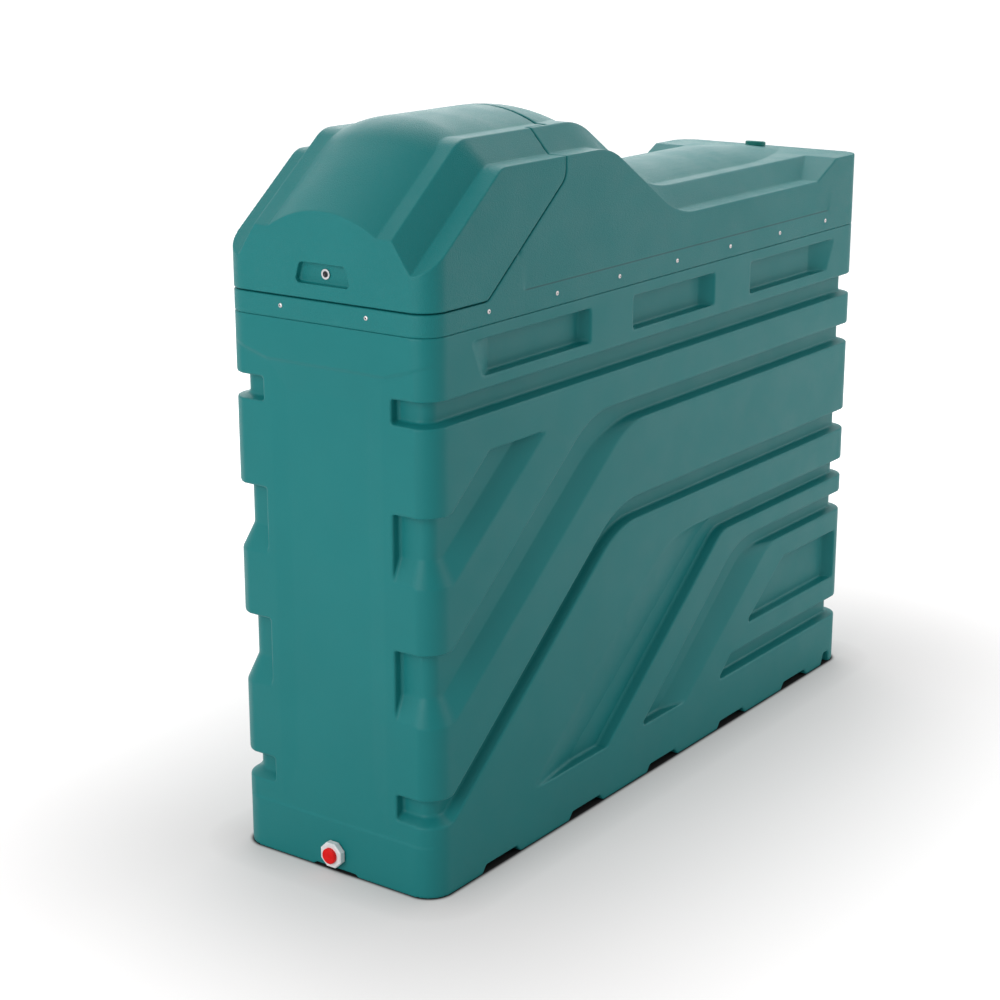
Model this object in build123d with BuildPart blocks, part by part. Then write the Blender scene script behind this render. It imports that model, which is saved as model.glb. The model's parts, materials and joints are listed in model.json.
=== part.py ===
from build123d import *
import os
from math import cos, radians, sin, tan

# Bunded oil tank: an outer bund, a weather cover with a hinged lid, and the inner tank with its fittings.
# The long axis is X, the lid end is at -X, and Z = 0 is the ground. The origin is the middle of the base.

# Overall size and moulded walls
length = 2080
width = 612
seam_height = 1362
plan_corner = 64
skin = 8
bund_wall = 42
end_wall = 12
floor_thickness = 30
end_floor = 12
fit_gap = 0.4

half_length = length / 2
half_width = width / 2
flat_length = half_length - plan_corner

# Upstand of the bund, which the cover slips over, and the reveal between them
upstand_height = 34
upstand_thickness = 8
skirt_inset = skin + fit_gap
reveal = 2.5

# Moulded grooves. Their pattern is drawn for this half length and height, and stretches with the bund.
pattern_length = 976
pattern_height = 1362
groove_depth = 30
groove_wrap = 114

# Foot notches under the bund
foot_count = 5
foot_pitch = 378
foot_middle = -9
foot_width = 160
foot_height = 18
foot_slant = 15
end_notch_half = 68
end_notch_height = 6
end_notch_depth = 40
corner_notch_width = 50
corner_notch_height = 36
corner_notch_depth = 20

# Shallow relief of the end faces, between plinth and collar
plinth_level = 131
collar_level = 1264
collar_edge = 1302
collar_half = 175
relief_depth = 2
relief_slope = 6
panel_half = 167
panel_floor_half = 118
panel_depth = 4
panel_run_low = 120
panel_run_high = 70

# Weather cover: heights are above the seam, places along the length are from the two ends
front_slope = 38.2
step_slope = 31.8
shoulder_front = seam_height + 136
shoulder_level = seam_height + 352
shoulder_step_x = -half_length + 850
shoulder_step_z = seam_height + 275
deck_shoulder = seam_height + 149
rim_front = seam_height + 212
rim_level = seam_height + 410
rim_step_x = -half_length + 874
rim_step_z = seam_height + 323
deck_level = seam_height + 204
ramp_start = half_length - 272
ramp_end = half_length - 159
shoulder_inset = 52
rim_inset = 104
crown_inset = 146
crown_rise = 37
deck_fall_x = half_length - 380
deck_fall = 5.7

# Ledge along the cover's sides, over the screws
ledge_start = -half_length + 361
ledge_end = half_length - 197
ledge_level = seam_height + 58
ledge_depth = 2.5
ledge_fade = 80

# Lid seam
lid_seam = seam_height + 56
lid_corner_x = -half_length + 218
lid_rear_x = -half_length + 530
lid_rear_z = seam_height + 301
seam_gap = 3
tongue_rear_x = -half_length + 610
tongue_half = 186
tongue_gap = 9.5

# Stepped lip of the cover under the lid's edge
lip_step = 6
lip_thickness = 5
lip_reach = 22
lip_back = 12

# Hinge under the crown
hinge_back = 50
hinge_drop = 22
hinge_y = 45
pin_radius = 3
pin_fit = 0.05
knuckle_radius = 6
knuckle_length = 22
ear_thickness = 3
ear_gap = 1
shelf_level = rim_level - 66
shelf_thickness = 6
leaf_length = 70

# Lock in the lid's front, and its keeper on the cover's lip
lock_height = lid_seam + 59
recess_half_top = 67
recess_half_bottom = 82
recess_low = lock_height - 24
recess_high = lock_height + 24
recess_depth = 16
lock_ring_radius = 12
lock_ring_thickness = 3
lock_body_radius = 9.5
lock_body_length = 34
lock_plug_radius = 6
cam_length = 38
cam_width = 16
cam_thickness = 3
cam_play = 0.5
nut_radius = 14
nut_thickness = 5
keeper_width = 30
keeper_thickness = 2.5
keeper_clearance = 5

# Drain outlet at the foot of the lid end
outlet_height = 47
outlet_across = 63
outlet_nut_thickness = 16
outlet_body_radius = 20
outlet_bore = 14
outlet_plug_height = 9
gasket_thickness = 3
back_nut_thickness = 10
outlet_tail = 22

# Vent cap on the rear deck
cap_x = half_length - 92
cap_radius = 30
cap_thickness = 12
spigot_radius = 14
spigot_length = 40

# Inner tank and its fittings
tank_clearance = 20
tank_top = seam_height - 30
tank_wall = 8
neck_x = -half_length + 350
neck_radius = 150
neck_height = 30
manhole_radius = 165
manhole_thickness = 16
manhole_bore = 120
fill_x = -half_length + 110
fill_y = 95
fill_radius = 30
fill_height = 96
fill_bore = 25
fill_cap_radius = 40
fill_cap_height = 28
grip_width = 14
grip_height = 12
vent_y = -95
vent_radius = 24
vent_height = 110
vent_wall = 5
vent_cap_radius = 36
vent_cap_height = 22
gauge_y = 70
gauge_radius = 26
gauge_height = 60
valve_y = -60
valve_height = 46
valve_radius = 11
boss_radius = 12
boss_depth = 40
handle_radius = 20
handle_thickness = 9


def finish(piece, name):
    """Label a finished piece and write it to its own file."""
    piece.label = name
    export_step(piece, f"parts/{name}.step")


def plan(inset, level=0.0):
    """Rounded rectangle of the tank's plan, moved inwards by inset."""
    with BuildSketch(Plane.XY.offset(level)) as outline:
        RectangleRounded(length - 2 * inset, width - 2 * inset, plan_corner - min(inset, plan_corner - 12))
    return outline.sketch


def closed(plane, points, radii=()):
    """Closed outline on a plane, with rounded corners where radii are given."""
    with BuildSketch(plane) as outline:
        with BuildLine():
            if radii:
                FilletPolyline(*points, radius=radii, close=True)
            else:
                Polyline(*points, close=True)
        make_face()
    return outline.sketch


def on_pattern(points):
    """Points of the groove pattern, stretched to the bund's length and height."""
    return [(x * flat_length / pattern_length, z * seam_height / pattern_height) for x, z in points]


def recess(mouth, floor, mouth_radii=(), floor_radii=(), depth=groove_depth):
    """Moulded recess in both long sides, with drafted walls from its mouth to its floor."""
    near = closed(Plane.XZ.offset(half_width), mouth, mouth_radii)
    deep = closed(Plane.XZ.offset(half_width - depth), floor, floor_radii)
    with BuildPart() as cut:
        loft(sections=[near, deep], ruled=True)
        mirror(about=Plane.XZ)
    return cut.part


def side_groove(mouth, floor, mouth_radii=(), floor_radii=()):
    """One groove of the pattern, with its corner radii stretched alike."""
    stretch = min(flat_length / pattern_length, seam_height / pattern_height)
    return recess(
        on_pattern(mouth), on_pattern(floor),
        [radius * stretch for radius in mouth_radii], [radius * stretch for radius in floor_radii])


def corner_groove(low, back, high, at_near, at_far):
    """Groove carried round the corners onto the end faces, with its sloped lower face."""
    (_, low), (_, back), (_, high) = on_pattern([(0, low), (0, back), (0, high)])
    reach = plan_corner + 10
    spots = []
    if at_near:
        spots.append(-flat_length - reach / 2)
    if at_far:
        spots.append(flat_length + reach / 2)
    band_width = groove_wrap + 10
    with BuildPart() as cut:
        with Locations((0, 0, (low + high) / 2)):
            for x in spots:
                for side in (-1, 1):
                    with Locations((x, side * (half_width - groove_wrap + band_width / 2), 0)):
                        Box(reach, band_width, high - low)
        loft(sections=[plan(0, low), plan(groove_depth, back)], ruled=True, mode=Mode.SUBTRACT)
        extrude(plan(groove_depth, back), amount=high - back + 1, mode=Mode.SUBTRACT)
    return cut.part


def groove_cutters():
    """All moulded grooves and pockets as solids to be taken from the bund."""
    flat = pattern_length
    near = -pattern_length
    cutters = []
    # Straight upper groove round the whole side
    cutters.append(side_groove(
        [(near, 1215), (flat, 1215), (flat, 1155), (near, 1155)],
        [(near, 1215), (flat, 1215), (flat, 1162), (near, 1162)]))
    cutters.append(corner_groove(1155, 1162, 1215, True, True))
    # Short diagonal
    cutters.append(side_groove(
        [(near, 945), (-962, 945), (-815, 1065), (-580, 1065), (-957, 776), (near, 776)],
        [(near, 945), (-962, 945), (-815, 1065), (-668, 1065), (-962, 838), (near, 838)],
        [0, 30, 12, 0, 40, 0], [0, 30, 12, 0, 30, 0]))
    cutters.append(corner_groove(776, 838, 945, True, False))
    # Second groove, which turns down into a wide diagonal
    cutters.append(side_groove(
        [(flat, 1067), (-384, 1067), (-962, 613), (near, 613),
         (near, 433), (-957, 433), (-215, 1009), (flat, 1009)],
        [(flat, 1067), (-384, 1067), (-962, 613), (near, 613),
         (near, 500), (-962, 500), (-295, 1017), (flat, 1017)],
        [0, 280, 30, 0, 0, 40, 260, 0], [0, 280, 30, 0, 0, 30, 400, 0]))
    cutters.append(corner_groove(433, 500, 613, True, False))
    cutters.append(corner_groove(1009, 1017, 1067, False, True))
    # Third groove, with a narrow diagonal
    cutters.append(side_groove(
        [(flat, 803), (-259, 803), (-964, 249), (near, 249),
         (near, 181), (-964, 181), (-256, 743), (flat, 743)],
        [(flat, 803), (-259, 803), (-964, 249), (near, 249),
         (near, 200), (-964, 200), (-268, 749), (flat, 749)],
        [0, 280, 30, 0, 0, 30, 280, 0], [0, 280, 30, 0, 0, 30, 280, 0]))
    cutters.append(corner_groove(181, 200, 249, True, False))
    cutters.append(corner_groove(743, 749, 803, False, True))
    # Fourth groove, which opens into a broad sloping field
    cutters.append(side_groove(
        [(flat, 648), (-16, 648), (-641, 145), (-292, 145), (282, 596), (flat, 596)],
        [(flat, 648), (245, 648), (-444, 145), (-306, 145), (277, 603), (flat, 603)],
        [0, 355, 8, 8, 120, 0], [0, 355, 8, 8, 120, 0]))
    cutters.append(corner_groove(596, 603, 648, False, True))
    # Fifth groove
    cutters.append(side_groove(
        [(flat, 546), (371, 546), (-125, 145), (105, 145), (562, 489), (flat, 489)],
        [(flat, 546), (371, 546), (-125, 145), (2, 145), (452, 495), (flat, 495)],
        [0, 250, 8, 8, 120, 0], [0, 250, 8, 8, 200, 0]))
    cutters.append(corner_groove(489, 495, 546, False, True))
    # Plain recessed panel
    cutters.append(side_groove(
        [(972, 424), (648, 424), (435, 276), (972, 276)],
        [(945, 424), (648, 424), (440, 278), (945, 278)],
        [8, 8, 8, 8], [8, 8, 8, 8]))
    # Short lowest groove
    cutters.append(side_groove(
        [(flat, 210), (353, 210), (284, 148), (flat, 148)],
        [(flat, 210), (357, 210), (296, 154), (flat, 154)],
        [0, 8, 8, 0], [0, 8, 8, 0]))
    cutters.append(corner_groove(148, 154, 210, False, True))
    # Pockets under the seam
    for side in (-1, 1):
        cutters.append(side_groove(
            [(side * 394, 1333), (side * 887, 1333), (side * 843, 1246), (side * 394, 1246)],
            [(side * 410, 1333), (side * 783, 1333), (side * 783, 1246), (side * 410, 1246)],
            [8, 8, 8, 8], [8, 8, 8, 8]))
    cutters.append(side_groove(
        [(-203, 1333), (203, 1333), (203, 1246), (-203, 1246)],
        [(-166, 1333), (166, 1333), (166, 1246), (-166, 1246)],
        [8, 8, 8, 8], [8, 8, 8, 8]))
    return cutters


def end_relief():
    """Shallow zone of both end faces between plinth and collar, with a sunk panel in its middle."""
    face = Plane(origin=(-half_length, 0, 0), x_dir=(0, -1, 0), z_dir=(-1, 0, 0))
    past = half_width + 5
    zones = []
    for slope in (0, relief_slope):
        low = plinth_level + slope
        high = collar_level - slope
        edge = collar_edge - slope
        zones.append([
            (-past, low), (past, low), (past, edge),
            (collar_half, high), (-collar_half, high), (-past, edge)])
    panels = []
    for half, run_low, run_high in (
            (panel_half, 2 * relief_slope, 2 * relief_slope),
            (panel_floor_half, panel_run_low, panel_run_high)):
        low = plinth_level + run_low
        high = collar_level - run_high
        panels.append([(-half, low), (half, low), (half, high), (-half, high)])
    with BuildPart() as cut:
        loft(sections=[closed(face, zones[0]), closed(face.offset(-relief_depth), zones[1])], ruled=True)
        loft(sections=[closed(face.offset(-relief_depth), panels[0]),
                       closed(face.offset(-relief_depth - panel_depth), panels[1])], ruled=True)
        mirror(about=Plane.YZ)
    return cut.part


def make_bund():
    """Outer bund, open at the top, with an upstand that the cover slips over."""
    cutters = groove_cutters()
    cutters.append(end_relief())
    # Small notch in front of each far corner foot
    foot_x = flat_length - 5
    notch_low = foot_x - corner_notch_width
    cutters.append(recess(
        [(notch_low, -1), (foot_x, -1),
         (foot_x - 6, corner_notch_height), (notch_low + 16, corner_notch_height)],
        [(notch_low + 4, -1), (foot_x - 4, -1),
         (foot_x - 8, corner_notch_height - 6), (notch_low + 18, corner_notch_height - 6)],
        depth=corner_notch_depth))
    with BuildPart() as bund:
        extrude(plan(0), amount=seam_height)
        # Hollow: the long sides keep the grooves' depth, the ends are thin between them
        with BuildSketch(Plane.XY.offset(floor_thickness)):
            RectangleRounded(length - 2 * bund_wall, width - 2 * bund_wall, 22)
        extrude(amount=seam_height, mode=Mode.SUBTRACT)
        bay_depth = bund_wall - end_wall + 2
        with BuildSketch(Plane.XY.offset(end_floor)):
            with GridLocations(length - 2 * end_wall - bay_depth, 0, 2, 1):
                Rectangle(bay_depth, width - 2 * (groove_wrap + end_wall))
        extrude(amount=seam_height, mode=Mode.SUBTRACT)
        # Upstand
        with BuildSketch(Plane.XY.offset(seam_height)):
            add(plan(skirt_inset).face())
            add(plan(skirt_inset + upstand_thickness).face(), mode=Mode.SUBTRACT)
        extrude(amount=upstand_height)
        for cutter in cutters:
            add(cutter, mode=Mode.SUBTRACT)
        # Foot notches
        with BuildSketch(Plane.XZ):
            for index in range(foot_count):
                middle = foot_middle + (index - (foot_count - 1) / 2) * foot_pitch
                with BuildLine():
                    Polyline(
                        (middle - foot_width / 2, 0), (middle + foot_width / 2, 0),
                        (middle + foot_width / 2 - foot_slant, foot_height),
                        (middle - foot_width / 2 + foot_slant, foot_height), close=True)
                make_face()
        extrude(amount=half_width, both=True, mode=Mode.SUBTRACT)
        # Low notches under the two ends
        for end in (-1, 1):
            with BuildSketch(Plane(origin=(end * half_length, 0, 0), x_dir=(0, end, 0), z_dir=(end, 0, 0))):
                with BuildLine():
                    Polyline(
                        (-end_notch_half, 0), (end_notch_half, 0),
                        (end_notch_half - end_notch_height, end_notch_height),
                        (end_notch_height - end_notch_half, end_notch_height), close=True)
                make_face()
            extrude(amount=-end_notch_depth, mode=Mode.SUBTRACT)
        # Hole for the drain fitting
        with Locations(Location((-half_length, 0, outlet_height), (0, 90, 0))):
            Cylinder(outlet_body_radius + fit_gap, 4 * end_wall, mode=Mode.SUBTRACT)
    return bund.part


def meet(line_a, line_b):
    """Crossing of two lines, each a point and a slope."""
    xa, za, slope_a = line_a
    xb, zb, slope_b = line_b
    x = (zb - za + slope_a * xa - slope_b * xb) / (slope_a - slope_b)
    return (x, za + slope_a * (x - xa))


def profile_corners(front, level, step_x, step_z, deck, inset):
    """Corners of one line of the cover, from the front slope to the deck, lowered by inset."""
    rise = tan(radians(front_slope))
    fall = -tan(radians(step_slope))
    slope_line = (-half_length, front - inset / cos(radians(front_slope)), rise)
    level_line = (0, level - inset, 0)
    step_line = (step_x, step_z - inset / cos(radians(step_slope)), fall)
    deck_line = (0, deck - inset, 0)
    start_x = -half_length - 30
    start = (start_x, slope_line[1] + rise * (start_x + half_length))
    return [start, meet(slope_line, level_line), meet(level_line, step_line), meet(step_line, deck_line)]


def profile_face(corners, tail, radii, offset_y, base):
    """Face under one line of the cover, closed down to its base."""
    end_x = half_length + 30
    first = corners[0][0]
    with BuildSketch(Plane.XZ.offset(offset_y)) as face:
        with BuildLine():
            FilletPolyline(*corners, tail[0], radius=radii)
            Polyline(*tail, (end_x, base), (first, base), corners[0])
        make_face()
    return face.sketch


def cover_form(inset, base=seam_height):
    """Solid bounded by the cover's skin moved inwards by inset, down to the base."""
    end_x = half_length + 30
    shoulder = profile_corners(
        shoulder_front, shoulder_level, shoulder_step_x, shoulder_step_z, deck_shoulder, inset)
    rim = profile_corners(rim_front, rim_level, rim_step_x, rim_step_z, deck_level, inset)
    shift = inset * 0.45
    ramp = [(ramp_start + shift, deck_shoulder - inset), (ramp_end + shift, deck_level - inset),
            (end_x, deck_level - inset)]
    shoulder_end = [(end_x, deck_shoulder - inset)]
    rim_end = [(end_x, deck_level - inset)]
    shoulder_radii = [60 - inset, 200 - inset, 300]
    rim_radii = [80 - inset, 200 - inset, 400]
    wall_out = half_width - shoulder_inset - shift
    wall_in = half_width - rim_inset - shift
    outer = profile_face(shoulder, shoulder_end, shoulder_radii, wall_out, base)
    inner = profile_face(rim, rim_end, rim_radii, wall_in, base)
    # Crown: a shallow arch swept along the rim line
    fall = tan(radians(deck_fall))
    crown_end = (end_x, deck_level - inset - fall * (end_x - deck_fall_x))
    crown_path_points = [*rim, (deck_fall_x, deck_level - inset), crown_end]
    with BuildLine(Plane.XZ) as crown_path:
        FilletPolyline(*crown_path_points, radius=[160 - inset, 450 - inset, 400, 1500])
    start = crown_path.line @ 0
    direction = crown_path.line % 0
    half_chord = half_width - crown_inset - inset * 0.2
    section_plane = Plane(origin=start, x_dir=(0, 1, 0), z_dir=direction)
    up = 1 if section_plane.y_dir.Z > 0 else -1
    with BuildSketch(section_plane) as section:
        with BuildLine():
            ThreePointArc((-half_chord, 0), (0, up * crown_rise), (half_chord, 0))
            Polyline((half_chord, 0), (half_chord, -up * 50), (-half_chord, -up * 50), (-half_chord, 0))
        make_face()
    with BuildPart() as form:
        extrude(profile_face(shoulder, ramp, shoulder_radii, 0, base), amount=half_width, both=True)
        loft(sections=[outer, inner], ruled=True)
        mirror(about=Plane.XZ)
        extrude(profile_face(rim, rim_end, rim_radii, 0, base), amount=wall_in, both=True)
        sweep(sections=section.sketch, path=crown_path.line)
        extrude(plan(inset, base), amount=600, mode=Mode.INTERSECT)
    return form.part


def lid_region(gap):
    """Space that the lid fills, grown by the seam gap."""
    low = lid_seam - gap
    top = rim_level + 2 * crown_rise
    side = gap / cos(radians(front_slope))
    with BuildPart() as region:
        with BuildSketch(Plane.XZ):
            with BuildLine():
                FilletPolyline(
                    (-half_length - 20, low), (lid_corner_x + side * 0.4, low),
                    (lid_rear_x + gap, lid_rear_z - gap * 0.6), (lid_rear_x + gap, top),
                    (-half_length - 20, top),
                    radius=[0, 30, 40, 0, 0], close=True)
            make_face()
        extrude(amount=half_width + 20, both=True)
    return region.part


def tongue_region(reach, side):
    """Space of the lid's tongue, which runs back over the crown."""
    front = lid_rear_x - 20
    with BuildPart() as region:
        with Locations(((front + reach) / 2, 0, rim_level)):
            Box(reach - front, 2 * side, 4 * crown_rise)
    return region.part


def make_lip():
    """Stepped lip of the cover: it dips behind the seam and reaches under the edge of the lid."""
    upper = cover_form(skin + lip_step)
    lower = cover_form(skin + lip_step + lip_thickness, seam_height - 5)
    with BuildPart() as lip:
        add(upper)
        add(lower, mode=Mode.SUBTRACT)
        add(lid_region(lip_back), mode=Mode.INTERSECT)
        add(lid_region(-lip_reach), mode=Mode.SUBTRACT)
    with BuildPart() as step:
        add(cover_form(skin - 1))
        add(lower, mode=Mode.SUBTRACT)
        add(lid_region(lip_back), mode=Mode.INTERSECT)
        add(lid_region(seam_gap), mode=Mode.SUBTRACT)
    with BuildPart() as whole:
        add(lip.part)
        add(step.part)
        # The tongue and its hinges pass over the middle, where the gutter takes the lip's place
        with Locations((lid_rear_x, 0, rim_level)):
            Box(8 * lip_reach, 2 * (tongue_half + 2 * seam_gap), 400, mode=Mode.SUBTRACT)
    return whole.part


def make_cover_and_lid():
    """Weather cover and the lid cut out of it, sharing one skin."""
    outer = cover_form(0)
    inner = cover_form(skin, seam_height - 5)
    lid_space = lid_region(0)
    lid_hole = lid_region(seam_gap)
    tongue = tongue_region(tongue_rear_x, tongue_half)
    tongue_hole = tongue_region(tongue_rear_x + tongue_gap, tongue_half + seam_gap)
    bulkhead_x = tongue_rear_x + tongue_gap
    shelf_front = lid_rear_x + 5
    top = rim_level + 2 * crown_rise
    ledge = recess(
        [(ledge_start, ledge_level), (ledge_end, ledge_level), (ledge_end, ledge_level + ledge_fade),
         (ledge_start, ledge_level + ledge_fade)],
        [(ledge_start + 4, ledge_level + 2), (ledge_end - 4, ledge_level + 2),
         (ledge_end - 4, ledge_level + 5), (ledge_start + 4, ledge_level + 5)],
        depth=ledge_depth)
    lip = make_lip()
    with BuildPart() as gutter:
        with BuildSketch(Plane.XZ):
            with BuildLine():
                Polyline(
                    (bulkhead_x, top), (bulkhead_x, shelf_level), (shelf_front, shelf_level),
                    (shelf_front, shelf_level - shelf_thickness),
                    (bulkhead_x + skin, shelf_level - shelf_thickness), (bulkhead_x + skin, top), close=True)
            make_face()
        extrude(amount=half_width, both=True)
        add(inner, mode=Mode.INTERSECT)
    with BuildPart() as cover:
        add(outer)
        add(inner, mode=Mode.SUBTRACT)
        add(lid_hole, mode=Mode.SUBTRACT)
        add(tongue_hole, mode=Mode.SUBTRACT)
        add(gutter.part)
        add(lip)
        add(ledge, mode=Mode.SUBTRACT)
        # Reveal along the cover's lower edge
        with BuildSketch(Plane.XY.offset(seam_height)):
            add(plan(-reveal).face())
            add(plan(reveal).face(), mode=Mode.SUBTRACT)
        extrude(amount=reveal, mode=Mode.SUBTRACT)
        # Spigot hole of the rear vent
        with Locations(Location((cap_x, 0, deck_level), (0, deck_fall, 0))):
            Cylinder(spigot_radius + 4 * fit_gap, 3 * spigot_length, mode=Mode.SUBTRACT)
    recess_plane = Plane(origin=(-half_length, 0, 0), x_dir=(0, -1, 0), z_dir=(-1, 0, 0))
    recess_points = [
        (-recess_half_bottom, recess_low), (recess_half_bottom, recess_low),
        (recess_half_top, recess_high), (-recess_half_top, recess_high)]
    with BuildPart() as lid_whole:
        add(lid_space)
        add(tongue)
    with BuildPart() as lid:
        add(outer)
        add(inner, mode=Mode.SUBTRACT)
        add(lid_whole.part, mode=Mode.INTERSECT)
        # Housing and recess of the lock
        with BuildSketch(recess_plane.offset(-skin / 2)):
            with BuildLine():
                FilletPolyline(*recess_points, radius=10, close=True)
            make_face()
            offset(amount=skin)
        extrude(amount=-(recess_depth + skin / 2))
        with BuildSketch(recess_plane.offset(5)):
            with BuildLine():
                FilletPolyline(*recess_points, radius=10, close=True)
            make_face()
        extrude(amount=-(recess_depth + 5), mode=Mode.SUBTRACT)
        with Locations(Location((-half_length + recess_depth, 0, lock_height), (0, 90, 0))):
            Cylinder(lock_body_radius + fit_gap, lock_body_length, mode=Mode.SUBTRACT)
    return cover.part, lid.part


def round_piece(radius, height, at, bore=0.0):
    """Disc or tube standing on its place."""
    with BuildPart() as piece:
        with BuildSketch(Plane(origin=at)):
            Circle(radius)
            if bore:
                Circle(bore, mode=Mode.SUBTRACT)
        extrude(amount=height)
    return piece.part


def make_hinge(side):
    """One hinge: a bracket on the gutter shelf, a leaf under the lid's crown and a pin."""
    axis_x = tongue_rear_x - hinge_back
    axis_z = rim_level + crown_rise - hinge_drop
    middle = side * hinge_y
    half_knuckle = knuckle_length / 2
    ear_out = half_knuckle + ear_gap + ear_thickness
    foot_low = shelf_level
    with BuildPart() as bracket:
        for ear in (-1, 1):
            start = middle + ear * (half_knuckle + ear_gap) - (ear_thickness if ear < 0 else 0)
            with BuildSketch(Plane.XZ.offset(-start)):
                with BuildLine():
                    Polyline(
                        (axis_x - knuckle_radius, axis_z), (axis_x - 24, foot_low), (axis_x - 7, foot_low),
                        (axis_x - 5, axis_z - 30), (axis_x + knuckle_radius, axis_z), close=True)
                make_face()
                with Locations((axis_x, axis_z)):
                    Circle(knuckle_radius)
                    Circle(pin_radius, mode=Mode.SUBTRACT)
            extrude(amount=-ear_thickness)
        with BuildSketch(Plane.XY.offset(foot_low)):
            with Locations((axis_x - 15.5, middle)):
                Rectangle(17, 2 * ear_out)
        extrude(amount=ear_thickness)
    with BuildPart() as pin:
        with BuildSketch(Plane.XZ.offset(-middle - ear_out - 1)):
            with Locations((axis_x, axis_z)):
                Circle(pin_radius)
        extrude(amount=2 * ear_out + 2)
    return bracket.part, pin.part


def make_leaf(side, under_skin):
    """Leaf of one hinge, bedded under the lid's crown, with its knuckle round the pin."""
    axis_x = tongue_rear_x - hinge_back
    axis_z = rim_level + crown_rise - hinge_drop
    middle = side * hinge_y
    leaf_low = axis_z + 3
    with BuildPart() as leaf:
        with Locations((axis_x - 4 - leaf_length / 2, middle, leaf_low + 10)):
            Box(leaf_length, knuckle_length, 20)
        add(under_skin, mode=Mode.INTERSECT)
        with BuildSketch(Plane.XZ.offset(-middle - knuckle_length / 2)):
            with Locations((axis_x, axis_z)):
                Circle(knuckle_radius)
            with Locations((axis_x - 6, axis_z + 4)):
                Rectangle(12, 4)
        extrude(amount=knuckle_length)
        with BuildSketch(Plane.XZ.offset(-middle - knuckle_length / 2)):
            with Locations((axis_x, axis_z)):
                Circle(pin_radius + pin_fit)
        extrude(amount=knuckle_length, mode=Mode.SUBTRACT)
    return leaf.part


def make_inner_tank():
    """Inner tank standing on the bund floor, with a neck and bosses under the lid."""
    inset = bund_wall + tank_clearance
    low = floor_thickness
    with BuildPart() as tank:
        with BuildSketch(Plane.XY.offset(low)):
            RectangleRounded(length - 2 * inset, width - 2 * inset, 40)
        extrude(amount=tank_top - low)
        with Locations((neck_x, 0, tank_top + neck_height / 2)):
            Cylinder(neck_radius, neck_height)
        with BuildSketch(Plane.XY.offset(low + tank_wall)):
            RectangleRounded(length - 2 * (inset + tank_wall), width - 2 * (inset + tank_wall), 32)
        extrude(amount=tank_top - low - 2 * tank_wall, mode=Mode.SUBTRACT)
        with Locations((neck_x, 0, tank_top)):
            Cylinder(manhole_bore, 4 * neck_height, mode=Mode.SUBTRACT)
        with Locations((fill_x, fill_y, tank_top)):
            Cylinder(fill_bore, 4 * tank_wall, mode=Mode.SUBTRACT)
        with Locations((fill_x, vent_y, tank_top)):
            Cylinder(vent_radius - vent_wall, 4 * tank_wall, mode=Mode.SUBTRACT)
    return tank.part


def make_outlet():
    """Drain outlet through the lid end: body, gasket, eight-sided nut, back nut and plug."""
    face_x = -half_length
    out = Plane(origin=(face_x, 0, outlet_height), x_dir=(0, -1, 0), z_dir=(-1, 0, 0))
    with BuildPart() as body:
        with BuildSketch(out.offset(outlet_nut_thickness + gasket_thickness)):
            Circle(outlet_body_radius)
            Circle(outlet_bore, mode=Mode.SUBTRACT)
        extrude(amount=-(outlet_nut_thickness + gasket_thickness + end_wall + outlet_tail))
    with BuildPart() as nut:
        with BuildSketch(out.offset(gasket_thickness)):
            RegularPolygon(outlet_across / 2, 8, major_radius=False, rotation=22.5)
            Circle(outlet_body_radius, mode=Mode.SUBTRACT)
        extrude(amount=outlet_nut_thickness)
        chamfer(nut.faces().sort_by(Axis.X)[0].outer_wire().edges(), 2)
    with BuildPart() as gasket:
        with BuildSketch(out):
            Circle(outlet_across / 2 - 1)
            Circle(outlet_body_radius, mode=Mode.SUBTRACT)
        extrude(amount=gasket_thickness)
    with BuildPart() as back_nut:
        with BuildSketch(out.offset(-end_wall)):
            RegularPolygon(outlet_across / 2 - 4, 6, major_radius=False)
            Circle(outlet_body_radius, mode=Mode.SUBTRACT)
        extrude(amount=-back_nut_thickness)
    with BuildPart() as plug:
        with BuildSketch(out.offset(outlet_nut_thickness + gasket_thickness)):
            Circle(outlet_body_radius)
        extrude(amount=outlet_plug_height)
        chamfer(plug.faces().sort_by(Axis.X)[0].edges(), 2)
        with BuildSketch(out.offset(outlet_nut_thickness + gasket_thickness)):
            Circle(outlet_bore - 0.3)
        extrude(amount=-14)
    return {"outlet_body": body.part, "outlet_nut": nut.part, "outlet_gasket": gasket.part,
            "outlet_back_nut": back_nut.part, "outlet_plug": plug.part}


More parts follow.
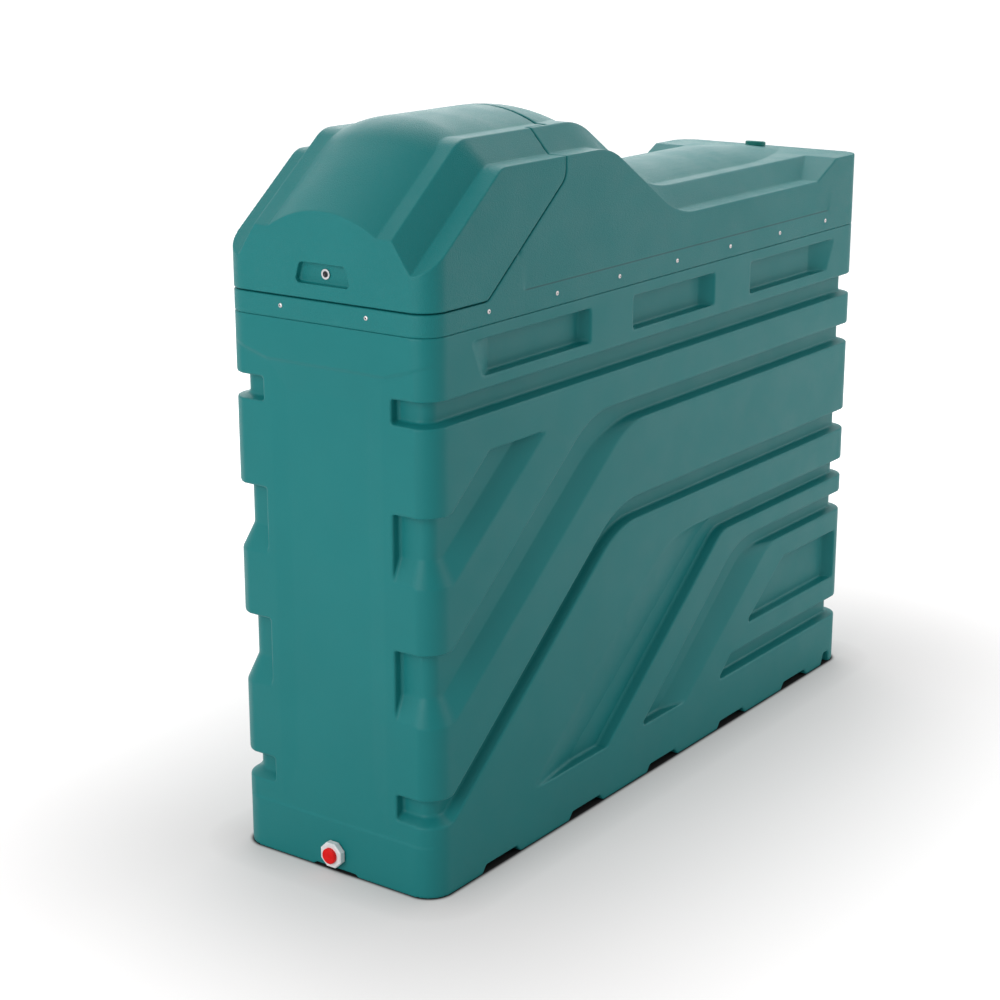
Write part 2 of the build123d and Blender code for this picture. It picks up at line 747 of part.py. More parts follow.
def make_lock():
    """Cam lock in the lid's recess: ring and body, nut behind, turning plug and cam."""
    floor_x = -half_length + recess_depth
    out = Plane(origin=(floor_x, 0, lock_height), x_dir=(0, -1, 0), z_dir=(-1, 0, 0))
    with BuildPart() as ring:
        with BuildSketch(out):
            Circle(lock_ring_radius)
            Circle(lock_plug_radius + pin_fit, mode=Mode.SUBTRACT)
        extrude(amount=lock_ring_thickness)
        with BuildSketch(out):
            Circle(lock_body_radius)
            Circle(lock_plug_radius + pin_fit, mode=Mode.SUBTRACT)
        extrude(amount=-lock_body_length)
    with BuildPart() as nut:
        with BuildSketch(out.offset(-skin - 2)):
            RegularPolygon(nut_radius, 6)
            Circle(lock_body_radius, mode=Mode.SUBTRACT)
        extrude(amount=-nut_thickness)
    with BuildPart() as plug:
        with BuildSketch(out.offset(lock_ring_thickness - 1)):
            Circle(lock_plug_radius)
        extrude(amount=-(lock_body_length + lock_ring_thickness + cam_thickness + 1))
        with BuildSketch(out.offset(lock_ring_thickness - 1)):
            Rectangle(1.6, 7)
        extrude(amount=-4, mode=Mode.SUBTRACT)
    with BuildPart() as cam:
        with BuildSketch(out.offset(-lock_body_length - cam_play)):
            with Locations((cam_length / 2 - 8, 0)):
                SlotOverall(cam_length, cam_width)
            Circle(lock_plug_radius, mode=Mode.SUBTRACT)
        extrude(amount=-cam_thickness)
    # Keeper: a bracket on the cover's lip, whose upright stands in front of the turned cam
    lip_x = -half_length + skin + lip_step + lip_thickness
    upright_x = floor_x + lock_body_length + cam_play - keeper_clearance
    foot_z = lid_seam + lip_reach - keeper_thickness
    upright_top = lock_height - cam_width - 1
    with BuildPart() as keeper:
        with BuildSketch(Plane.XZ):
            with BuildLine():
                Polyline(
                    (lip_x, foot_z + keeper_thickness), (lip_x, lid_seam + 2),
                    (lip_x + keeper_thickness, lid_seam + 2), (lip_x + keeper_thickness, foot_z),
                    (upright_x, foot_z), (upright_x, upright_top),
                    (upright_x - keeper_thickness, upright_top),
                    (upright_x - keeper_thickness, foot_z + keeper_thickness), close=True)
            make_face()
        extrude(amount=keeper_width / 2, both=True)
    return {"lock_ring": ring.part, "lock_nut": nut.part, "lock_plug": plug.part, "lock_cam": cam.part,
            "lock_keeper": keeper.part}


def make_fittings():
    """What stands on the inner tank under the lid, and the rear vent cap."""
    neck_top = tank_top + neck_height
    cover_top = neck_top + manhole_thickness
    pieces = {}
    pieces["manhole_gasket"] = round_piece(neck_radius, gasket_thickness, (neck_x, 0, neck_top), manhole_bore)
    with BuildPart() as manhole:
        with Locations((neck_x, 0, neck_top + gasket_thickness + manhole_thickness / 2)):
            Cylinder(manhole_radius, manhole_thickness)
        chamfer(manhole.faces().sort_by(Axis.Z)[-1].edges(), 5)
        with Locations((neck_x, gauge_y, neck_top), (neck_x, valve_y, neck_top)):
            Cylinder(boss_radius, 4 * manhole_thickness, mode=Mode.SUBTRACT)
    pieces["manhole_lid"] = manhole.part
    pieces["fill_pipe"] = round_piece(fill_radius, fill_height, (fill_x, fill_y, tank_top), fill_bore)
    with BuildPart() as fill_cap:
        with BuildSketch(Plane.XY.offset(tank_top + fill_height)):
            with Locations((fill_x, fill_y)):
                Circle(fill_cap_radius)
        extrude(amount=fill_cap_height)
        chamfer(fill_cap.faces().sort_by(Axis.Z)[-1].edges(), 4)
        with BuildSketch(Plane.XY.offset(tank_top + fill_height + fill_cap_height)):
            with Locations((fill_x, fill_y)):
                Rectangle(2 * fill_cap_radius - grip_width, grip_width)
        extrude(amount=grip_height)
    pieces["fill_cap"] = fill_cap.part
    pieces["vent_pipe"] = round_piece(
        vent_radius, vent_height, (fill_x, vent_y, tank_top), vent_radius - vent_wall)
    with BuildPart() as vent_cap:
        with Locations((fill_x, vent_y, tank_top + vent_height + vent_cap_height / 2)):
            Cylinder(vent_cap_radius, vent_cap_height)
        chamfer(vent_cap.faces().sort_by(Axis.Z)[-1].edges(), 8)
    pieces["inner_vent_cap"] = vent_cap.part
    gauge_low = cover_top + gasket_thickness
    with BuildPart() as gauge:
        with Locations((neck_x, gauge_y, gauge_low + gauge_height / 2)):
            Cylinder(gauge_radius, gauge_height)
        chamfer(gauge.faces().sort_by(Axis.Z)[-1].edges(), 5)
        with Locations((neck_x, gauge_y, gauge_low - boss_depth / 2)):
            Cylinder(boss_radius - fit_gap, boss_depth)
    pieces["gauge_head"] = gauge.part
    with BuildPart() as valve:
        with BuildSketch(Plane.XY.offset(gauge_low)):
            with Locations((neck_x, valve_y)):
                RegularPolygon(1.6 * valve_radius, 6)
        extrude(amount=boss_radius)
        with Locations((neck_x, valve_y, gauge_low + boss_radius + valve_height / 2)):
            Cylinder(valve_radius, valve_height)
        # Side outlet of the valve
        spout = (neck_x - 1.3 * valve_radius, valve_y, gauge_low + 3 * valve_radius)
        with Locations(Location(spout, (0, 90, 0))):
            Cylinder(0.7 * valve_radius, 2.6 * valve_radius)
        with Locations((neck_x, valve_y, gauge_low - boss_depth / 2)):
            Cylinder(boss_radius - fit_gap, boss_depth)
    pieces["draw_off_valve"] = valve.part
    pieces["valve_wheel"] = round_piece(
        handle_radius, handle_thickness, (neck_x, valve_y, gauge_low + boss_radius + valve_height))
    fall = radians(deck_fall)
    crown_level = deck_level - tan(fall) * (cap_x - deck_fall_x) + crown_rise / cos(fall)
    seat = Plane(origin=(cap_x, 0, crown_level + fit_gap), x_dir=(cos(fall), 0, -sin(fall)),
                 z_dir=(sin(fall), 0, cos(fall)))
    with BuildPart() as cap:
        with BuildSketch(seat):
            Circle(cap_radius)
        extrude(amount=cap_thickness)
        chamfer(cap.faces().sort_by(Axis.Z)[-1].edges(), 2.5)
        with BuildSketch(seat):
            Circle(spigot_radius)
        extrude(amount=-spigot_length)
    pieces["vent_cap"] = cap.part
    return pieces


os.makedirs("parts", exist_ok=True)

finish(make_bund(), "bund_shell")
top_cover, lid = make_cover_and_lid()
finish(top_cover, "top_cover")
finish(lid, "lid")
under_crown = cover_form(skin + 0.3)
for side, word in ((-1, "near"), (1, "far")):
    bracket, pin = make_hinge(side)
    finish(bracket, f"hinge_bracket_{word}")
    finish(pin, f"hinge_pin_{word}")
    finish(make_leaf(side, under_crown), f"hinge_leaf_{word}")
finish(make_inner_tank(), "inner_tank")
for pieces in (make_outlet(), make_lock(), make_fittings()):
    for name, piece in pieces.items():
        finish(piece, name)
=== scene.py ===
import json
import math

import bmesh
import bpy
import numpy as np
from mathutils import Euler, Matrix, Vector


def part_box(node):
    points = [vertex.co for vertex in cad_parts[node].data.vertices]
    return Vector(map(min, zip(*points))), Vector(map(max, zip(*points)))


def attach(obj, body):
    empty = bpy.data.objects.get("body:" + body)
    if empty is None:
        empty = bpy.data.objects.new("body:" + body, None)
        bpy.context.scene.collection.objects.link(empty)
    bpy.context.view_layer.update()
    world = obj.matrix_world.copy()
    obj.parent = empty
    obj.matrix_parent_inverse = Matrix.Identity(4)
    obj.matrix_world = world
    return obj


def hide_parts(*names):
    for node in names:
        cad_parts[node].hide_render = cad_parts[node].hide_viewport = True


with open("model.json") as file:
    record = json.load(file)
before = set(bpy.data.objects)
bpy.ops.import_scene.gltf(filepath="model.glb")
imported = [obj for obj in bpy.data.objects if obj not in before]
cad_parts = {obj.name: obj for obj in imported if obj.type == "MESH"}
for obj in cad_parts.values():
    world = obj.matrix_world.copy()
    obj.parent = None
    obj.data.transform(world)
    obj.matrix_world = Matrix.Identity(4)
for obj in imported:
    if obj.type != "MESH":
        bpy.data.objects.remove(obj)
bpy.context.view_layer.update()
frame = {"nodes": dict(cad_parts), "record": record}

# Bunded oil tank: finishes, soft moulded edges, screws, lock shutter, studio and camera.
# Metres, Z up, X along the tank with its lid end at -X.


# Shader maths as plain expressions

class Wire:
    def __init__(self, nodes, socket):
        self.nodes = nodes
        self.socket = socket

    def __add__(self, other):
        return self.nodes.maths("ADD", self, other)

    def __radd__(self, other):
        return self.nodes.maths("ADD", other, self)

    def __sub__(self, other):
        return self.nodes.maths("SUBTRACT", self, other)

    def __rsub__(self, other):
        return self.nodes.maths("SUBTRACT", other, self)

    def __mul__(self, other):
        return self.nodes.maths("MULTIPLY", self, other)

    def __rmul__(self, other):
        return self.nodes.maths("MULTIPLY", other, self)


class Nodes:
    def __init__(self, tree, outKind):
        self.tree = tree
        self.tree.nodes.clear()
        self.out = self.tree.nodes.new(outKind)

    def put(self, socket, value):
        if isinstance(value, Wire):
            self.tree.links.new(value.socket, socket)
        elif isinstance(value, (tuple, list)) and len(value) == 3 and socket.type == "RGBA":
            socket.default_value = (*value, 1.0)
        else:
            socket.default_value = value

    # settings come first, then the values or links of the sockets; out names the output that is used
    def node(self, kind, settings, sockets, out=0):
        made = self.tree.nodes.new(kind)
        for key, value in settings.items():
            setattr(made, key, value)
        for key, value in sockets.items():
            self.put(made.inputs[key], value)
        return Wire(self, made.outputs[out])

    def maths(self, operation, a, b):
        return self.node("ShaderNodeMath", {"operation": operation}, {0: a, 1: b})

    def vectors(self, operation, *values, out=0):
        return self.node("ShaderNodeVectorMath", {"operation": operation}, dict(enumerate(values)), out)

    def mixColors(self, factor, a, b):
        return self.node("ShaderNodeMix", {"data_type": "RGBA"}, {"Factor": factor, 6: a, 7: b}, 2)

    def place(self):
        return self.node("ShaderNodeTexCoord", {}, {}, "Object")

    def axes(self, vector):
        return [self.node("ShaderNodeSeparateXYZ", {}, {0: vector}, axis) for axis in "XYZ"]

    def band(self, value, low, high):
        # 0 at low, 1 at high, clamped
        return self.node("ShaderNodeMapRange", {"clamp": True}, {
            "Value": value, "From Min": low, "From Max": high, "To Min": 0.0, "To Max": 1.0})

    def finish(self, shader):
        self.tree.links.new(shader.socket, self.out.inputs["Surface"])


class Paint(Nodes):
    def __init__(self, name, viewColor):
        self.material = bpy.data.materials.new(name)
        self.material.use_nodes = True
        self.material.diffuse_color = (*viewColor, 1.0)
        super().__init__(self.material.node_tree, "ShaderNodeOutputMaterial")

    def spots(self, scale, detail=2.0, rough=0.5, stretch=(1.0, 1.0, 1.0)):
        stretched = self.node("ShaderNodeMapping", {}, {"Vector": self.place(), "Scale": stretch})
        return self.node("ShaderNodeTexNoise", {}, {
            "Vector": stretched, "Scale": scale, "Detail": detail, "Roughness": rough})

    def bump(self, height, distance, strength=1.0, under=None):
        sockets = {"Height": height, "Distance": distance, "Strength": strength}
        if under is not None:
            sockets["Normal"] = under
        return self.node("ShaderNodeBump", {}, sockets)

    def surface(self, sockets):
        self.finish(self.node("ShaderNodeBsdfPrincipled", {}, sockets))
        return self.material


# Rotomoulded polyethylene: even colour, faint clouding, a fine orange-peel grain.
# A noise is given as its scale, detail and roughness; a range is where it goes from 0 to 1.
tankLook = {
    "deep": (0.0066, 0.178, 0.181),
    "pale": (0.0076, 0.187, 0.190),
    "cloud": (3.2, 3.0, 0.55),
    "speck": (310.0, 2.0, 0.6),
    "speckShare": 0.25,
    "toneRange": (0.38, 0.62),
    "roughness": (0.41, 0.48),
    "patches": (11.0, 3.0),
    "patchRange": (0.35, 0.65),
    "gloss": 0.225,
    "grain": (620.0, 1.5, 0.5),
    "grainDepth": 0.00035,
    "grainStrength": 0.5,
    "wave": (7.0, 1.0, 0.4),
    "waveDepth": 0.0003,
    "creases": None,
    "ledge": None,
}
# the cover and its lid come from a tool with a coarser grain, and a painted shadow, a fine dark line,
# runs along the foot of the ledge on the cover's long sides, where the ledge's small step casts its shade
hoodLook = {
    **tankLook, "speck": (200.0, 2.0, 0.6), "grain": (400.0, 1.5, 0.5), "grainDepth": 0.0022,
    "ledge": {
        "level": 1.4205, "middle": 0.082, "from": 0.762, "to": 0.745, "half": 0.0024,
        "share": 1.0, "dark": (0.003, 0.075, 0.078), "side": (0.290, 0.300)}}
# end faces of the bund: a sharper edge on the step along the collar, which rises to the corners,
# and on the step along the plinth
bundLook = {**tankLook, "creases": {
    "collar": 1.264, "rise": 0.038, "from": 0.175, "to": 0.306, "plinth": 0.131,
    "half": 0.004, "depth": 0.0016, "ends": (1.000, 1.030)}}
capLook = {**tankLook, "deep": (0.005, 0.185, 0.160), "pale": (0.006, 0.205, 0.178)}


def ledgeShadowMask(paint, look):
    # Mask of the painted shadow line under the ledge's step: 1 on the ledge's line and 0 beside it, on
    # the long sides alone, fading out at both ends of the line.
    moved = paint.vectors("SUBTRACT", paint.place(), (look["middle"], 0.0, 0.0))
    x, y, z = paint.axes(paint.vectors("ABSOLUTE", moved))
    rising = paint.band(z, look["level"] - look["half"], look["level"])
    falling = paint.band(z, look["level"] + look["half"], look["level"])
    return rising * falling * paint.band(y, *look["side"]) * paint.band(x, look["from"], look["to"])


def endCreases(paint, look):
    # Height 1 above the collar line and below the plinth line, 0 between them, on the end faces alone.
    # The collar line is collar + rise * (0 to 1 while |y| goes from "from" to "to").
    x, y, z = paint.axes(paint.vectors("ABSOLUTE", paint.place()))
    line = look["collar"] + look["rise"] * paint.band(y, look["from"], look["to"])
    above = paint.band(z - line, -look["half"], look["half"])
    below = 1.0 - paint.band(z, look["plinth"] - look["half"], look["plinth"] + look["half"])
    return (above + below) * paint.band(x, *look["ends"])


def mouldedPlastic(name, look):
    paint = Paint(name, look["pale"])
    share = look["speckShare"]
    tone = (1.0 - share) * paint.spots(*look["cloud"]) + share * paint.spots(*look["speck"])
    colour = paint.mixColors(paint.band(tone, *look["toneRange"]), look["deep"], look["pale"])
    if look["ledge"]:
        # painted shadow: the ledge's line darkens the base colour towards its shade colour
        line = look["ledge"]["share"] * ledgeShadowMask(paint, look["ledge"])
        colour = paint.mixColors(line, colour, look["ledge"]["dark"])
    low, high = look["roughness"]
    rough = low + (high - low) * paint.band(paint.spots(*look["patches"]), *look["patchRange"])
    under = paint.bump(paint.spots(*look["wave"]), look["waveDepth"])
    if look["creases"]:
        under = paint.bump(endCreases(paint, look["creases"]), look["creases"]["depth"], 1.0, under)
    grain = paint.bump(paint.spots(*look["grain"]), look["grainDepth"], look["grainStrength"], under)
    return paint.surface({
        "Base Color": colour, "Roughness": rough, "Normal": grain, "Specular IOR Level": look["gloss"]})


# Injection-moulded fittings: finer clouding and almost no grain; cloud and grain are noise scales here
plainLook = {
    "cloud": 60.0,
    "cloudRange": (0.35, 0.65),
    "patchScale": 2.3,
    "patchRange": (0.3, 0.7),
    "roughRise": 0.08,
    "grain": 900.0,
    "grainDepth": 0.0002,
    "grainStrength": 0.4,
    "gloss": 0.4,
}


def plainPlastic(name, own):
    look = {**plainLook, **own}
    paint = Paint(name, look["pale"])
    cloud = paint.band(paint.spots(look["cloud"], 3.0), *look["cloudRange"])
    patches = paint.band(paint.spots(look["cloud"] * look["patchScale"], 2.0), *look["patchRange"])
    return paint.surface({
        "Base Color": paint.mixColors(cloud, look["deep"], look["pale"]),
        "Roughness": look["roughness"] + look["roughRise"] * patches,
        "Normal": paint.bump(paint.spots(look["grain"], 1.0), look["grainDepth"], look["grainStrength"]),
        "Specular IOR Level": look["gloss"]})


# Plated and turned metal: even streaks, or streaks pressed together along one axis
metalLook = {
    "streak": (240.0, 3.0, 0.6),
    "stretch": (1.0, 1.0, 1.0),
    "streakRange": (0.3, 0.7),
    "roughRise": 0.15,
    "depth": 0.00005,
    "strength": 0.5,
}


def metal(name, own):
    look = {**metalLook, **own}
    paint = Paint(name, look["pale"])
    streak = paint.band(paint.spots(*look["streak"], look["stretch"]), *look["streakRange"])
    return paint.surface({
        "Base Color": paint.mixColors(streak, look["deep"], look["pale"]),
        "Roughness": look["roughness"] + look["roughRise"] * streak,
        "Normal": paint.bump(streak, look["depth"], look["strength"]),
        "Metallic": 1.0})


# Rubber with a little dust on it
rubberLook = {
    "deep": (0.012, 0.012, 0.013),
    "pale": (0.035, 0.035, 0.036),
    "dust": (90.0, 4.0),
    "dustRange": (0.4, 0.75),
    "roughness": 0.7,
    "roughRise": 0.15,
    "grain": (700.0, 2.0),
    "grainDepth": 0.0002,
    "grainStrength": 0.4,
}


def rubber(name, look):
    paint = Paint(name, look["deep"])
    dust = paint.band(paint.spots(*look["dust"]), *look["dustRange"])
    return paint.surface({
        "Base Color": paint.mixColors(dust, look["deep"], look["pale"]),
        "Roughness": look["roughness"] + look["roughRise"] * dust,
        "Normal": paint.bump(paint.spots(*look["grain"]), look["grainDepth"], look["grainStrength"])})


finishes = {
    "tank_green": mouldedPlastic("tankPlastic", bundLook),
    "cap_green": mouldedPlastic("capPlastic", capLook),
    "inner_plastic": plainPlastic("innerTankPlastic", {
        "deep": (0.012, 0.028, 0.024), "pale": (0.02, 0.042, 0.036), "roughness": 0.45, "cloud": 8.0}),
    "black_plastic": plainPlastic("blackFittingPlastic", {
        "deep": (0.012, 0.012, 0.012), "pale": (0.03, 0.03, 0.03), "roughness": 0.38}),
    "white_plastic": plainPlastic("whiteFittingPlastic", {
        "deep": (0.74, 0.76, 0.77), "pale": (0.84, 0.85, 0.86), "roughness": 0.34}),
    "red_plastic": plainPlastic("redPlugPlastic", {
        "deep": (0.72, 0.002, 0.002), "pale": (0.82, 0.004, 0.003), "roughness": 0.36, "cloud": 90.0,
        "gloss": 0.2}),
    "black_rubber": rubber("gasketRubber", rubberLook),
    "zinc_steel": metal("zincPlate", {
        "deep": (0.42, 0.43, 0.44), "pale": (0.62, 0.62, 0.62), "roughness": 0.32}),
    "plated_lock": metal("lockPlate", {
        "deep": (0.45, 0.45, 0.46), "pale": (0.66, 0.66, 0.67), "roughness": 0.18}),
    "dark_lock": metal("lockCore", {
        "deep": (0.02, 0.02, 0.022), "pale": (0.06, 0.06, 0.065), "roughness": 0.4}),
    "brass": metal("turnedBrass", {
        "deep": (0.48, 0.31, 0.1), "pale": (0.66, 0.46, 0.17), "roughness": 0.24,
        "stretch": (1.0, 1.0, 8.0)}),
    "screw": metal("screwHead", {
        "deep": (0.50, 0.46, 0.46), "pale": (0.68, 0.64, 0.64), "roughness": 0.34}),
    # near-black metal for the discs in the screws' sockets: painted shade of the deep sockets
    "socket": metal("screwSocketShade", {
        "deep": (0.03, 0.03, 0.03), "pale": (0.08, 0.08, 0.08), "roughness": 0.5}),
    "hood_green": mouldedPlastic("hoodPlastic", hoodLook),
}

slotOf = {row["node"]: row["material_slot"] for row in frame["record"]["subparts"]}
for name, node in frame["nodes"].items():
    node.data.materials.clear()
    node.data.materials.append(finishes[slotOf[name]])
print("finishes ready")


# Moulded edges: a node's own shape, rebuilt as one even skin whose edges are then worn round

def meshArrays(node, sides):
    mesh = node.data
    points = np.empty(len(mesh.vertices) * 3, np.float32)
    mesh.vertices.foreach_get("co", points)
    corners = np.empty(len(mesh.loops), np.int32)
    mesh.loops.foreach_get("vertex_index", corners)
    return points.reshape(-1, 3), corners.reshape(-1, sides)


def show(name, data):
    piece = bpy.data.objects.new(name, data)
    bpy.context.scene.collection.objects.link(piece)
    return piece


def applied(piece):
    # the piece's modifiers become its mesh
    graph = bpy.context.evaluated_depsgraph_get()
    mesh = bpy.data.meshes.new_from_object(piece.evaluated_get(graph))
    mesh.name = piece.name
    piece.modifiers.clear()
    piece.data = mesh


skinLook = {
    "weld": 0.00002,
    "pull": 0.5,
    "quickGrid": 2.0,
}
# grid and rounds together set how soft an edge is; the edges along a seam, within seamReach of its
# level, are worn less than the rest
bundSkin = {
    "node": "bund_shell", "piece": "softBund", "body": "tank", "finish": "tank_green",
    "grid": 0.0035, "rounds": 3, "faces": 190000,
    "seam": 1.362, "seamReach": 0.008, "seamRounds": 0,
    "faded": [], "fadeRounds": 0,
}
# the ledge over the screws fades out at both its ends: boxes given as low x, high x, low z, high z
coverSkin = {
    "node": "top_cover", "piece": "softCover", "body": "tank", "finish": "hood_green",
    "grid": 0.0029, "rounds": 3, "faces": 185000,
    "seam": 1.364, "seamReach": 0.008, "seamRounds": 0,
    "faded": [(-0.705, -0.650, 1.426, 1.515), (0.815, 0.870, 1.426, 1.515)], "fadeRounds": 90,
}
lidSkin = {
    "node": "lid", "piece": "softLid", "body": "hatch", "finish": "hood_green",
    "grid": 0.0025, "rounds": 3, "faces": 150000,
    "seam": 1.418, "seamReach": 0.004, "seamRounds": 1,
    "faded": [], "fadeRounds": 0,
}


def weldedCopy(nodeName, pieceName):
    # a CAD node's mesh is loose triangles, so the copy's doubles are merged
    mesh = bpy.data.meshes.new(pieceName)
    points, corners = meshArrays(frame["nodes"][nodeName], 3)
    mesh.from_pydata(points, [], corners)
    work = bmesh.new()
    work.from_mesh(mesh)
    bmesh.ops.remove_doubles(work, verts=work.verts, dist=skinLook["weld"])
    work.to_mesh(mesh)
    work.free()
    return show(pieceName, mesh)


def wearGroups(piece, look):
    # the name of each group, the points in it and its rounds of wear
    spots = meshArrays(piece, 4)[0]
    x, z = spots[:, 0], spots[:, 2]
    crisp = np.abs(z - look["seam"]) < look["seamReach"]
    faded = np.zeros(len(spots), bool)
    for lowX, highX, lowZ, highZ in look["faded"]:
        faded |= (x > lowX) & (x < highX) & (z > lowZ) & (z < highZ)
    return (("body", ~crisp, look["rounds"]), ("seam", crisp, look["seamRounds"]),
            ("faded", faded, look["fadeRounds"]))


def mouldedSkin(look):
    piece = weldedCopy(look["node"], look["piece"])
    grid = piece.modifiers.new("even grid", "REMESH")
    grid.mode = "VOXEL"
    grid.voxel_size = look["grid"] * 1.0
    applied(piece)
    for name, chosen, rounds in wearGroups(piece, look):
        group = piece.vertex_groups.new(name=name)
        group.add(np.flatnonzero(chosen).tolist(), 1.0, "REPLACE")
        wear = piece.modifiers.new("worn " + name, "SMOOTH")
        wear.factor = skinLook["pull"]
        wear.iterations = rounds
        wear.vertex_group = name
    applied(piece)
    piece.vertex_groups.clear()
    thin = piece.modifiers.new("fewer faces", "DECIMATE")
    thin.ratio = min(1.0, look["faces"] / (2.0 * len(piece.data.polygons)))  # a square is two triangles
    applied(piece)
    piece.data.shade_smooth()
    piece.data.materials.clear()
    piece.data.materials.append(finishes[look["finish"]])
    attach(piece, look["body"])
    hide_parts(look["node"])
    print(look["piece"], len(piece.data.polygons), "faces")


for skin in (bundSkin, coverSkin, lidSkin):
    mouldedSkin(skin)


# Screws: a domed washer head with a socket, both turned profiles; a near-black disc set in each socket
# paints the shade of its depth

screwLook = {
    "radius": 0.0056,
    "rise": 0.0024,
    "socket": 0.0026,
    "side": (-0.818, -0.543, -0.269, 0.005, 0.278, 0.552, 0.822),
    "end": (-0.127, 0.127),
    "level": 1.393,
    "turns": 20,
    "axle": 0.0001,
}


def turned(name, profile, places, material, body):
    # The profile is (radius, height) pairs turned about its own axis; every place adds one copy.
    # A point is place + radius * (cos a * across + sin a * up) + height * out.
    profile = np.array(profile)
    steps, rings = screwLook["turns"], len(profile)
    angles = np.linspace(0, 2 * np.pi, steps, endpoint=False)
    ring, step = np.meshgrid(np.arange(rings - 1), np.arange(steps), indexing="ij")
    after = (step + 1) % steps
    quads = np.stack([ring * steps + step, ring * steps + after,
                      (ring + 1) * steps + after, (ring + 1) * steps + step], -1).reshape(-1, 4)
    points, faces = [], []
    for count, (place, out) in enumerate(places):
        place, out, up = np.array(place), np.array(out, float), np.array((0.0, 0.0, 1.0))
        around = np.cos(angles)[:, None] * np.cross(up, out) + np.sin(angles)[:, None] * up
        grid = place + profile[:, 0, None, None] * around[None] + profile[:, 1, None, None] * out
        points.append(grid.reshape(-1, 3))
        faces.append(quads + count * rings * steps)
    mesh = bpy.data.meshes.new(name)
    mesh.from_pydata(np.concatenate(points), [], np.concatenate(faces))
    mesh.shade_smooth()
    mesh.materials.append(material)
    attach(show(name, mesh), body)


coverLow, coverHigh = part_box("top_cover")
screwPlaces = []
for x in screwLook["side"]:
    screwPlaces.append(((x, coverLow.y, screwLook["level"]), (0, -1, 0)))
    screwPlaces.append(((x, coverHigh.y, screwLook["level"]), (0, 1, 0)))
for y in screwLook["end"]:
    screwPlaces.append(((coverLow.x, y, screwLook["level"]), (-1, 0, 0)))
    screwPlaces.append(((coverHigh.x, y, screwLook["level"]), (1, 0, 0)))
r, h, s, axle = screwLook["radius"], screwLook["rise"], screwLook["socket"], screwLook["axle"]
turned("screwHeads", [(r, -0.002), (r, 0.0004), (r * 0.94, h * 0.45), (r * 0.75, h * 0.8), (r * 0.5, h),
                      (s, h), (s, h * 0.2), (axle, h * 0.2)], screwPlaces, finishes["screw"], "tank")
turned("screwSocketShadeDiscs", [(s * 0.98, h * 0.1), (s * 0.98, h * 0.55), (s * 0.5, h * 0.5), (axle, h * 0.45)],
       screwPlaces, finishes["socket"], "tank")

# Lock: the dark shutter over the keyway, which turns with the plug
shutterLook = {"place": (-1.0272, 0.0, 1.477), "radius": 0.0074, "rise": 0.0006, "hole": 0.0042}
r, h, s = shutterLook["radius"], shutterLook["rise"], shutterLook["hole"]
turned("keyShutter", [(r, -0.0006), (r, h * 0.4), (r * 0.93, h),
                      (s, h), (s * 0.95, h * 0.2), (axle, h * 0.2)],
       [(shutterLook["place"], (-1, 0, 0))], finishes["dark_lock"], "lock_rotor")
print("screws and shutter ready")


# Studio: pale floor, white to the camera, with painted shade and a painted contact shadow round the
# tank's foot, soft lamps

studio = {
    "floor": 60.0,
    "floorLevel": -0.0005,
    "floorColor": (0.88, 0.88, 0.88),
    "shownColor": (0.500, 0.485, 0.483),
    # painted contact shadow: the floor's colour where the tank touches it, nearly black, fading to the
    # shown colour a few millimetres out
    "contactShadowColor": (0.030, 0.029, 0.029),
    "contactShadowFade": (-0.001, 0.007),
    "footCorner": 0.064,
    # painted light and shade on the floor: what is added to the floor's tone, and between which distances
    # from the tank's foot it comes in; as little is added near the tank, this paints the tank's shadow
    # round its foot
    "glow": ((0.21, 0.002, 0.012), (0.12, 0.012, 0.120), (0.33, 0.100, 0.850), (0.31, 0.850, 2.500)),
    "world": 0.37,
    "shownWorld": 1.0,
    "middle": (0.0, 0.0, 0.9),
    "away": 6.0,
    "lamps": [
        # name, azimuth from +X and height in degrees, size, watts
        ("backLow", 45.0, 18.0, 4.8, 70.0),
        ("backHigh", 45.0, 48.0, 4.8, 92.0),
        ("rearHigh", 0.0, 48.0, 4.8, 72.0),
        ("farHigh", 135.0, 48.0, 4.8, 42.0),
        ("lidEnd", 180.0, 18.0, 4.0, 136.0),
        ("rightLow", 315.0, 18.0, 4.8, 74.0),
    ],
}


def seenRays(nodes):
    # 1 for rays that show the background: straight to the camera, in a mirror or through glass
    camera, glossy, through = (nodes.node("ShaderNodeLightPath", {}, {}, kind)
                               for kind in ("Is Camera Ray", "Is Glossy Ray", "Is Transmission Ray"))
    return nodes.maths("MAXIMUM", nodes.maths("MAXIMUM", camera, glossy), through)


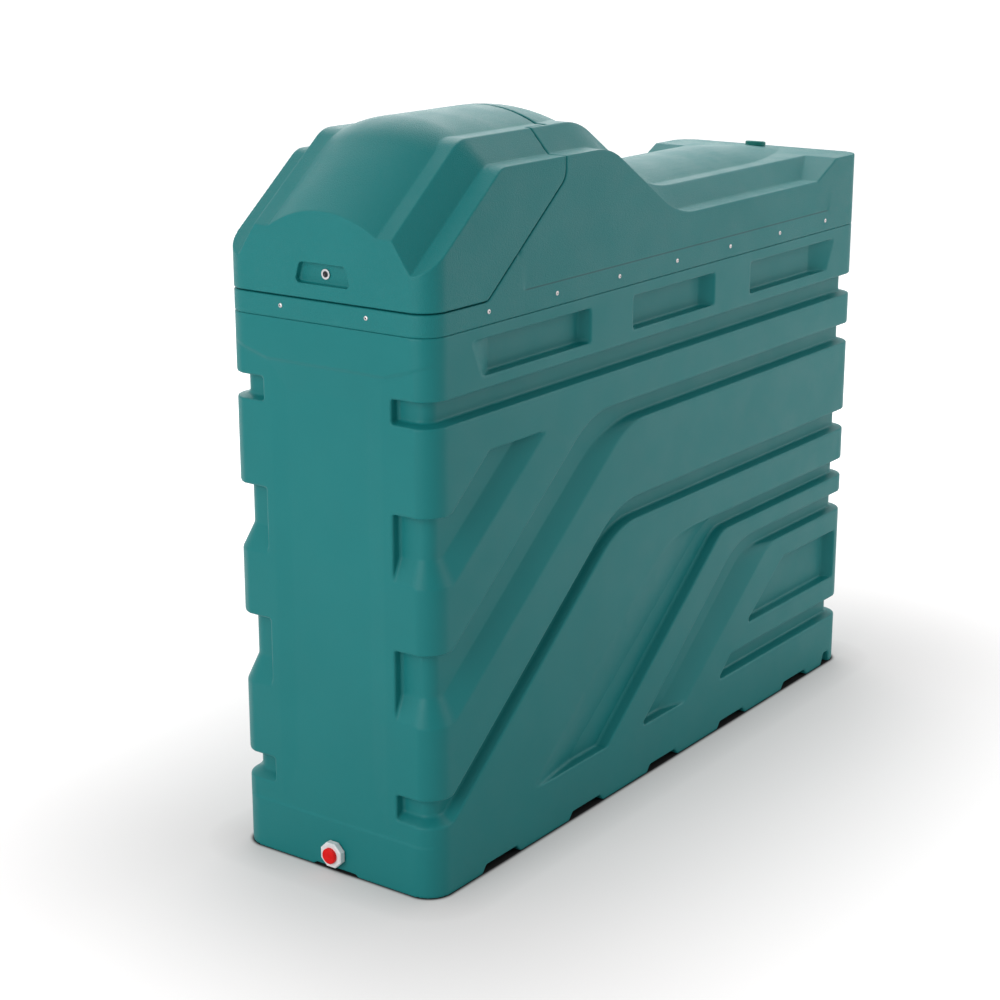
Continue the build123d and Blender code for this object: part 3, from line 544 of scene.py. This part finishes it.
def makeFloor(look):
    half = look["floor"]
    line = np.array((-half, half))
    gridX, gridY = np.meshgrid(line, line, indexing="ij")
    points = np.stack([gridX, gridY, np.full_like(gridX, look["floorLevel"])], -1).reshape(-1, 3)
    mesh = bpy.data.meshes.new("studioFloor")
    mesh.from_pydata(points, [], np.array([[0, 2, 3, 1]]))
    paint = Paint("floorPaper", look["floorColor"])
    # how far a point lies outside the tank's foot, a box with round corners:
    # the length of max(|place| - inner half size, 0), less the corner's radius
    corner = look["footCorner"]
    foot = (coverHigh - coverLow) / 2.0
    inner = (foot.x - corner, foot.y - corner, 0.0)
    past = paint.vectors("SUBTRACT", paint.vectors("ABSOLUTE", paint.place()), inner)
    past = paint.vectors("MAXIMUM", past, (0.0, 0.0, 0.0))
    away = paint.vectors("LENGTH", past, out="Value") - corner
    # the floor as it is seen: a diffuse part that keeps the tank's real shadow, a glow that rises with
    # the distance from the tank's foot, which paints it white far away and leaves painted shade towards
    # the tank, and a painted contact shadow that makes it nearly black where the tank touches it
    # painted contact shadow mixed into the floor's tone
    tone = paint.mixColors(paint.band(away, *look["contactShadowFade"]), look["contactShadowColor"], look["shownColor"])
    glow = 0.0
    for share, start, end in look["glow"]:
        glow = glow + share * paint.band(away, start, end)
    plain = paint.node("ShaderNodeBsdfDiffuse", {}, {"Color": look["floorColor"]})
    shown = paint.node("ShaderNodeAddShader", {}, {
        0: paint.node("ShaderNodeBsdfDiffuse", {}, {"Color": tone}),
        1: paint.node("ShaderNodeEmission", {}, {"Color": glow, "Strength": 1.0})})
    paint.finish(paint.node("ShaderNodeMixShader", {}, {0: seenRays(paint), 1: plain, 2: shown}))
    mesh.materials.append(paint.material)
    show("studioFloor", mesh)


def makeWorld(look):
    # even light for the tank, and white for the rays that show the background
    world = bpy.data.worlds.new("studio")
    bpy.context.scene.world = world
    world.use_nodes = True
    sky = Nodes(world.node_tree, "ShaderNodeOutputWorld")
    light, shown = (sky.node("ShaderNodeBackground", {}, {"Color": (1.0, 1.0, 1.0), "Strength": strength})
                    for strength in (look["world"], look["shownWorld"]))
    sky.finish(sky.node("ShaderNodeMixShader", {}, {0: seenRays(sky), 1: light, 2: shown}))


def makeLamps(look):
    # each lamp stands on a sphere round the middle, middle + away * (cos a cos h, sin a cos h, sin h),
    # and faces the middle
    middle = Vector(look["middle"])
    for name, azimuth, height, size, watts in look["lamps"]:
        a, h = math.radians(azimuth), math.radians(height)
        ray = Vector((math.cos(a) * math.cos(h), math.sin(a) * math.cos(h), math.sin(h)))
        light = bpy.data.lights.new(name, "AREA")
        light.shape = "DISK"
        light.size = size
        light.energy = watts
        lamp = show(name, light)
        lamp.visible_camera = False
        lamp.location = middle + look["away"] * ray
        lamp.rotation_euler = (-ray).to_track_quat("-Z", "Y").to_euler()


makeFloor(studio)
makeWorld(studio)
makeLamps(studio)

# Camera worked out from the photograph's edges; pitch and turn in degrees, lens and sensor in millimetres
cameraLook = {
    "place": (-4.6514, -3.1014, 2.3404),
    "pitch": 73.634,
    "turn": -54.203,
    "lens": 76.38,
    "sensor": 36.0,
}
cameraData = bpy.data.cameras.new("camera")
cameraData.lens = cameraLook["lens"]
cameraData.sensor_width = cameraLook["sensor"]
camera = show("camera", cameraData)
camera.location = cameraLook["place"]
camera.rotation_euler = Euler((math.radians(cameraLook["pitch"]), 0.0, math.radians(cameraLook["turn"])))
bpy.context.scene.camera = camera
bpy.context.scene.view_settings.view_transform = "Standard"
print("studio ready")
